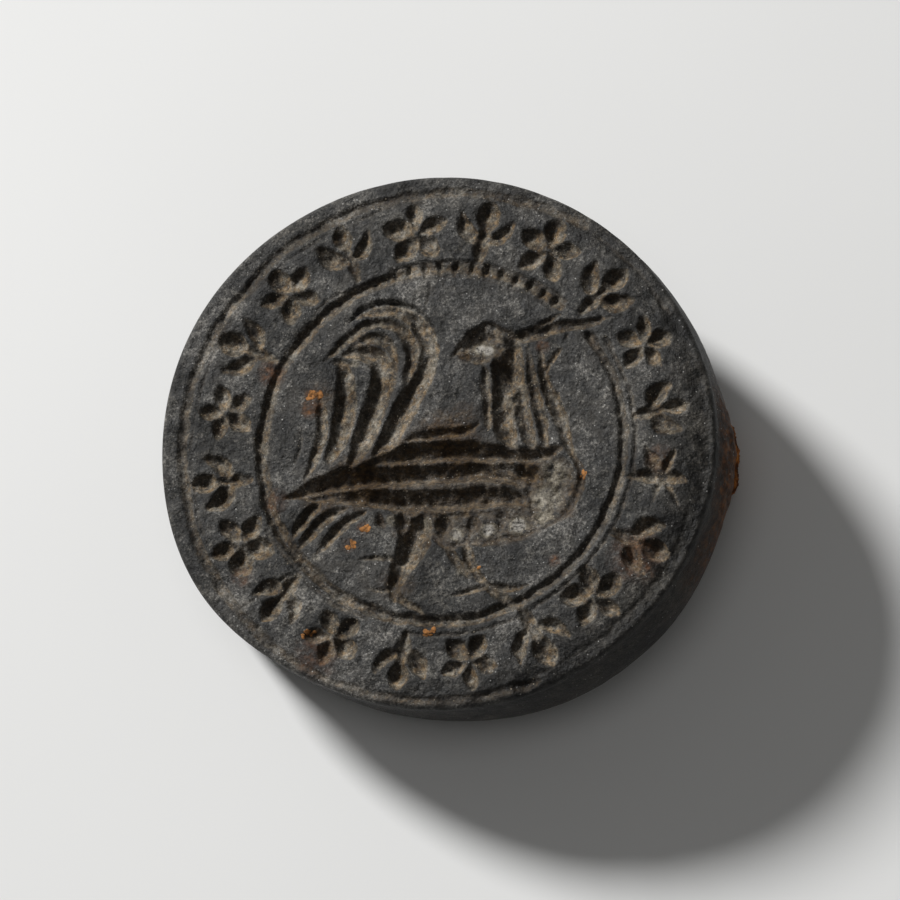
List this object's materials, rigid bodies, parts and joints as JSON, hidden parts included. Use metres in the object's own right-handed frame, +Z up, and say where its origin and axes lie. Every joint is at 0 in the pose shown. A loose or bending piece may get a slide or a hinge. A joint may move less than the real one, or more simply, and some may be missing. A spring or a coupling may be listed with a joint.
{
  "type": "seal matrix",
  "caption": "Round black stone seal matrix, a bird and an ornament band engraved in its face, with an iron loop leaded into the back and a swinging iron ring.",
  "frame": {"origin": "middle of the underside of the object's box, as it lies face up on a table, leant on its loop and on the far edge of its back", "axes": "+Z up, +X towards the suspension loop, +Y towards the top of the engraved picture within five degrees"},
  "size_m": [0.036, 0.0344, 0.0121],
  "materials": {
    "stone": "near-black fine-grained stone, satin, with pale dirt left in the cuts",
    "rusted_iron": "wrought iron with a thick crust of orange-brown rust",
    "lead": "dull grey weathered lead",
    "dark_iron": "dark wrought iron with rust in its pits"
  },
  "bodies": {
    "seal": {"matrix_body": "stone", "suspension_loop": "rusted_iron", "lead_setting": "lead"},
    "ring": {"suspension_ring": "dark_iron"}
  },
  "joints": [
    {"name": "ring_swing", "type": "hinge", "parent": "seal", "child": "ring", "pos_m": [0.0157, -0.00039, 0.00231], "axis": [0, -1, 0], "range_deg": [-9, 232]}
  ]
}
